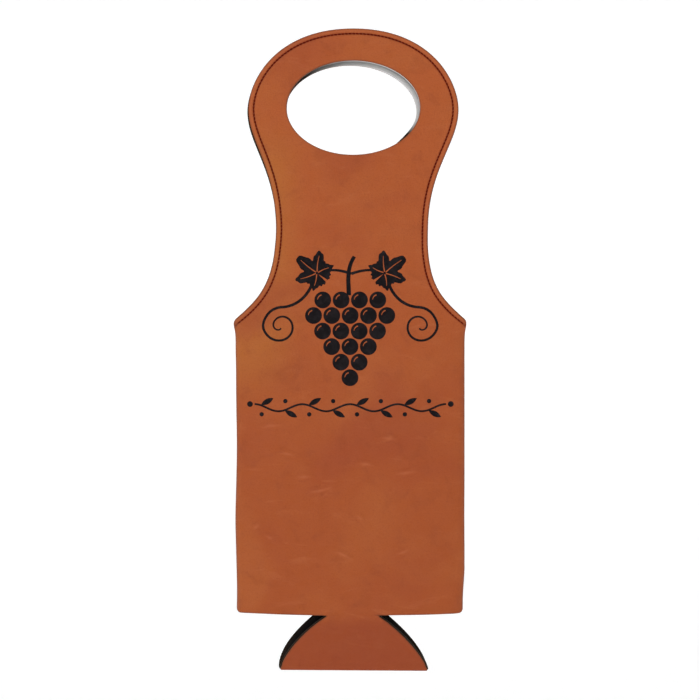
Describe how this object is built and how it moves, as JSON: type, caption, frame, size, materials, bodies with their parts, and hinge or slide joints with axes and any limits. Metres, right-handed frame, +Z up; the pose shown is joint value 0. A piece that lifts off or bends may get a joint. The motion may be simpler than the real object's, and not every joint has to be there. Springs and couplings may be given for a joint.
{
  "type": "bottle carrier",
  "caption": "Flat-folding one-bottle carrier: a sewn leatherette sleeve lined with foam, with a folding base and two tall flaps with oval hand holes.",
  "frame": {"origin": "middle of the hand hole's upper rim, midway between the two flaps, where a hand or hook bears", "axes": "+Z up along the flap, +X to the right seen from the front, +Y from the front wall to the back wall"},
  "size_m": [0.1508, 0.016, 0.4184],
  "materials": {
    "leatherette": "tan leatherette with a fine mottled grain, semi-matt, darker and duller at its edges",
    "foam_lining": "black foam laminate with a close knit face, matt",
    "topstitch_thread": "dark russet sewing thread, slightly glossy",
    "seam_thread": "black sewing thread"
  },
  "bodies": {
    "back_panel": {"back_panel_leather": "leatherette", "back_panel_lining": "foam_lining", "back_panel_topstitch": "topstitch_thread"},
    "back_left": {"back_left_leather": "leatherette", "back_left_lining": "foam_lining", "back_left_topstitch": "topstitch_thread", "back_left_allowance": "foam_lining", "left_seam_thread": "seam_thread"},
    "back_right": {"back_right_leather": "leatherette", "back_right_lining": "foam_lining", "back_right_topstitch": "topstitch_thread", "back_right_allowance": "foam_lining", "right_seam_thread": "seam_thread"},
    "front_left": {"front_left_leather": "leatherette", "front_left_lining": "foam_lining", "front_left_topstitch": "topstitch_thread", "front_left_allowance": "foam_lining"},
    "front_panel": {"front_panel_leather": "leatherette", "front_panel_lining": "foam_lining", "front_panel_topstitch": "topstitch_thread"},
    "front_right": {"front_right_leather": "leatherette", "front_right_lining": "foam_lining", "front_right_topstitch": "topstitch_thread", "front_right_allowance": "foam_lining"},
    "base_front": {"base_front_leather": "leatherette", "base_front_lining": "foam_lining"},
    "base_back": {"base_back_leather": "leatherette", "base_back_lining": "foam_lining"},
    "front_neck": {"front_neck_leather": "leatherette", "front_neck_lining": "foam_lining", "front_neck_topstitch": "topstitch_thread"},
    "front_handle": {"front_handle_leather": "leatherette", "front_handle_lining": "foam_lining", "front_handle_topstitch": "topstitch_thread"},
    "back_neck": {"back_neck_leather": "leatherette", "back_neck_lining": "foam_lining", "back_neck_topstitch": "topstitch_thread"},
    "back_handle": {"back_handle_leather": "leatherette", "back_handle_lining": "foam_lining", "back_handle_topstitch": "topstitch_thread"}
  },
  "joints": [
    {"name": "pouch_open", "type": "hinge", "parent": "back_panel", "child": "back_left", "pos_m": [-0.03948, 0.0045, 0], "axis": [0, 0, 1], "range_deg": [0, 80], "stiffness_Nm_per_rad": 0.03},
    {"name": "back_right_fold", "type": "hinge", "parent": "back_panel", "child": "back_right", "pos_m": [0.03948, 0.0045, 0], "axis": [0, 0, -1], "range_deg": [0, 80]},
    {"name": "left_seam", "type": "hinge", "parent": "back_left", "child": "front_left", "pos_m": [-0.0752, 0, 0], "axis": [0, 0, -1], "range_deg": [0, 160]},
    {"name": "front_left_fold", "type": "hinge", "parent": "front_left", "child": "front_panel", "pos_m": [-0.03948, -0.0045, 0], "axis": [0, 0, 1], "range_deg": [0, 80]},
    {"name": "front_right_fold", "type": "hinge", "parent": "front_panel", "child": "front_right", "pos_m": [0.03948, -0.0045, 0], "axis": [0, 0, 1], "range_deg": [0, 80]},
    {"name": "base_front_fold", "type": "hinge", "parent": "front_panel", "child": "base_front", "pos_m": [0, -0.0045, -0.3613], "axis": [1, 0, 0], "range_deg": [0, 80]},
    {"name": "base_fold", "type": "hinge", "parent": "base_front", "child": "base_back", "pos_m": [0, 0, -0.39702], "axis": [-1, 0, 0], "range_deg": [0, 160]},
    {"name": "front_neck_lean", "type": "hinge", "parent": "front_panel", "child": "front_neck", "pos_m": [0, -0.0045, -0.1165], "axis": [-1, 0, 0], "range_deg": [0, 14.5]},
    {"name": "front_handle_part", "type": "hinge", "parent": "front_neck", "child": "front_handle", "pos_m": [0, -0.008, -0.08598], "axis": [1, 0, 0], "range_deg": [0, 50], "stiffness_Nm_per_rad": 0.06},
    {"name": "back_neck_lean", "type": "hinge", "parent": "back_panel", "child": "back_neck", "pos_m": [0, 0.0045, -0.1165], "axis": [1, 0, 0], "range_deg": [0, 14.5]},
    {"name": "back_handle_part", "type": "hinge", "parent": "back_neck", "child": "back_handle", "pos_m": [0, 0.008, -0.08598], "axis": [-1, 0, 0], "range_deg": [0, 50], "stiffness_Nm_per_rad": 0.06}
  ],
  "couplings": [
    {"joint": "back_right_fold", "follows": "pouch_open", "ratio": 1},
    {"joint": "left_seam", "follows": "pouch_open", "ratio": 2},
    {"joint": "front_left_fold", "follows": "pouch_open", "ratio": 1},
    {"joint": "front_right_fold", "follows": "pouch_open", "ratio": 1},
    {"joint": "base_front_fold", "follows": "pouch_open", "ratio": 1},
    {"joint": "base_fold", "follows": "pouch_open", "ratio": 2},
    {"joint": "front_neck_lean", "follows": "pouch_open", "ratio": 0.18125},
    {"joint": "back_neck_lean", "follows": "pouch_open", "ratio": 0.18125}
  ]
}
